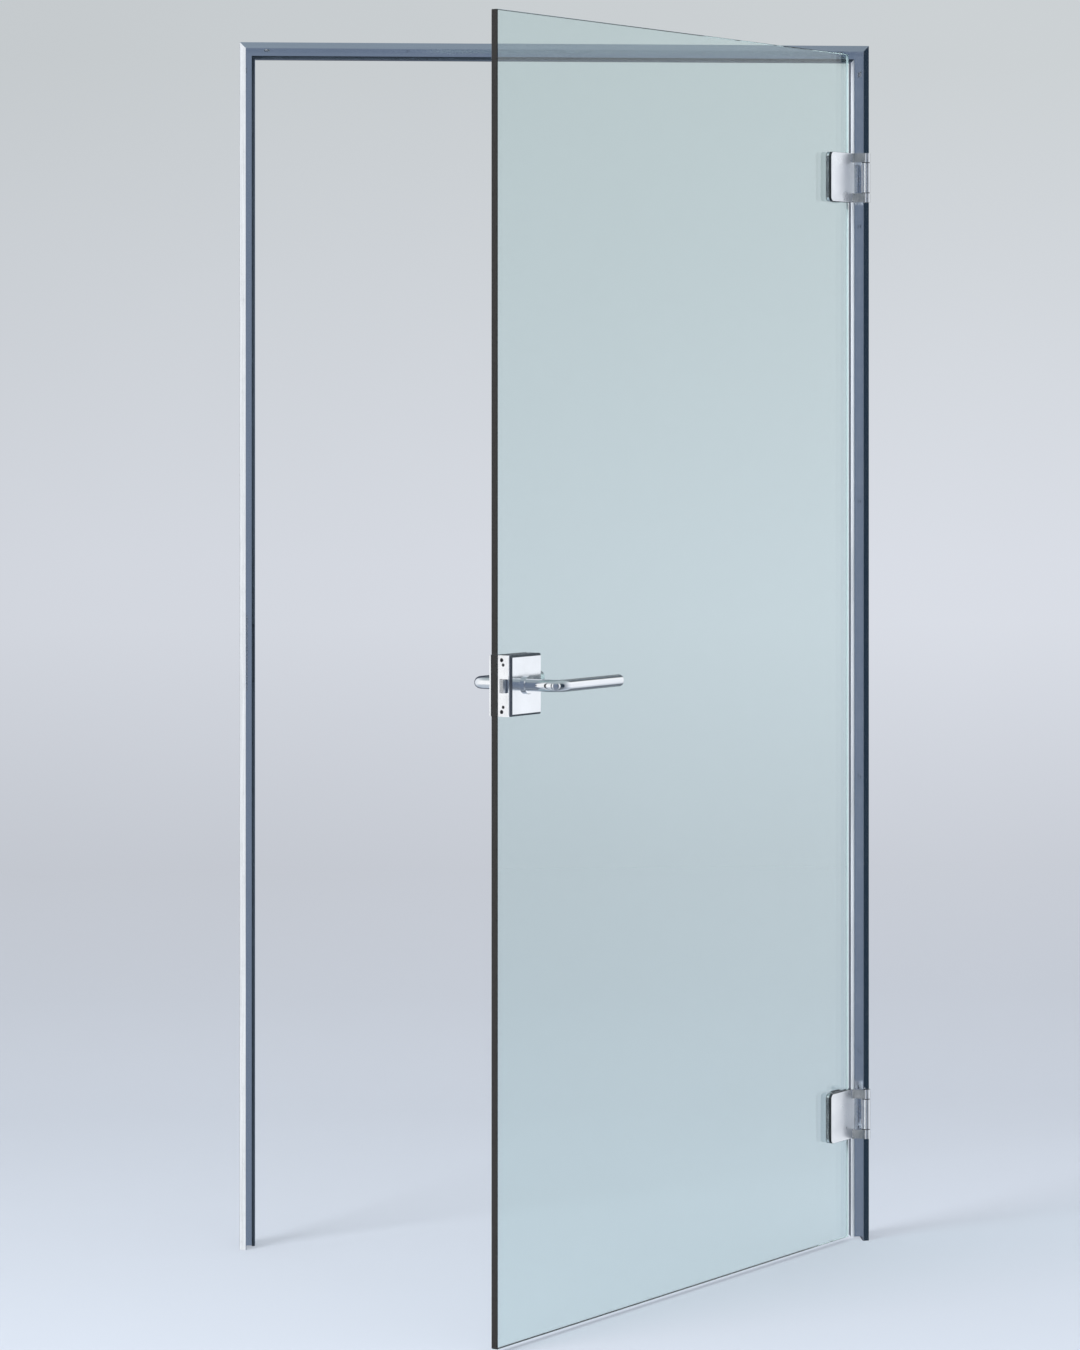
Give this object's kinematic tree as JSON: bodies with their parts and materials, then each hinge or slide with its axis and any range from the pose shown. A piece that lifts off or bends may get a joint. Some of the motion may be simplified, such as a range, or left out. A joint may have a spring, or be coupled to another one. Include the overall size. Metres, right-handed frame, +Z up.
{
  "type": "frameless glass door",
  "caption": "Hinged clear glass door leaf with a patch lock and lever handles, in a slim mitred aluminium frame, shown half open.",
  "frame": {"origin": "on the floor line, at the middle of the frame's depth, on the outer wall face of the hinge-side jamb", "axes": "+X across the wall away from the doorway, out of the hinge-side jamb's wall face; -X runs over the doorway to the lock side; -Y is the pull side, where the leaf opens to; +Z up"},
  "size_m": [1.1134, 0.9199, 2.1187],
  "materials": {
    "frame_aluminium": "fine satin anodised",
    "fitting_aluminium": "polished",
    "handle_aluminium": "polished",
    "raw_aluminium": "mill finish",
    "steel": "plain zinc-plated",
    "latch_steel": "smooth machined",
    "black_steel": "black oxide",
    "clear_glass": "clear, polished edges",
    "seal_rubber": "soft matte",
    "gasket_rubber": "matte",
    "bush_plastic": "matte"
  },
  "bodies": {
    "frame": {"corner_cleat_hinge_side": "raw_aluminium", "corner_cleat_lock_side": "raw_aluminium", "corner_screws": "steel", "header_profile": "frame_aluminium", "jamb_hinge_side": "frame_aluminium", "jamb_lock_side": "frame_aluminium", "seal_header": "seal_rubber", "seal_hinge_side": "seal_rubber", "seal_lock_side": "seal_rubber", "strike_plate": "steel", "strike_screws": "steel", "hinge_upper_frame_part": "fitting_aluminium", "hinge_upper_backing_plate": "steel", "hinge_upper_wing_screws": "steel", "hinge_upper_backing_screws": "steel", "hinge_upper_pin": "steel", "hinge_lower_frame_part": "fitting_aluminium", "hinge_lower_backing_plate": "steel", "hinge_lower_wing_screws": "steel", "hinge_lower_backing_screws": "steel", "hinge_lower_pin": "steel"},
    "leaf": {"glass_leaf": "clear_glass", "hinge_lower_bushes": "bush_plastic", "hinge_lower_clamp_screws": "steel", "hinge_lower_counter_plate": "fitting_aluminium", "hinge_lower_cover": "fitting_aluminium", "hinge_lower_gasket_pull": "gasket_rubber", "hinge_lower_gasket_push": "gasket_rubber", "hinge_lower_leaf_body": "fitting_aluminium", "hinge_upper_bushes": "bush_plastic", "hinge_upper_clamp_screws": "steel", "hinge_upper_counter_plate": "fitting_aluminium", "hinge_upper_cover": "fitting_aluminium", "hinge_upper_gasket_pull": "gasket_rubber", "hinge_upper_gasket_push": "gasket_rubber", "hinge_upper_leaf_body": "fitting_aluminium", "latch_spring": "steel", "lever_spring": "steel", "lock_base": "fitting_aluminium", "lock_case": "fitting_aluminium", "lock_clamp_screws": "steel", "lock_collar_pull": "fitting_aluminium", "lock_collar_push": "fitting_aluminium", "lock_counter_plate": "fitting_aluminium", "lock_forend": "fitting_aluminium", "lock_forend_screws": "steel", "lock_gasket_pull": "gasket_rubber", "lock_gasket_push": "gasket_rubber", "lock_set_screws": "black_steel"},
    "lever": {"lever_pull": "handle_aluminium", "lever_push": "handle_aluminium", "lever_grub_screws": "steel", "spindle": "steel", "follower": "steel"},
    "latch": {"latch_bolt": "latch_steel"}
  },
  "joints": [
    {"name": "door_swing", "type": "hinge", "parent": "frame", "child": "leaf", "pos_m": [-0.0076, -0.0395, 1.055], "axis": [0, 0, 1], "range_deg": [-51.25, 118.75]},
    {"name": "lever_turn", "type": "hinge", "parent": "leaf", "child": "lever", "pos_m": [-0.68593, -0.83515, 1.045], "axis": [-0.7799, 0.6259, 0], "range_deg": [0, 38], "stiffness_Nm_per_rad": 1.2, "springref_deg": -34.38, "deforming": ["lever_spring"]},
    {"name": "latch_slide", "type": "slide", "parent": "leaf", "child": "latch", "axis": [0.6259, 0.7799, 0], "range_m": [0, 0.0101], "deforming": ["latch_spring"]}
  ],
  "couplings": [
    {"joint": "latch_slide", "follows": "lever_turn", "m_per_rad": 0.01508}
  ]
}
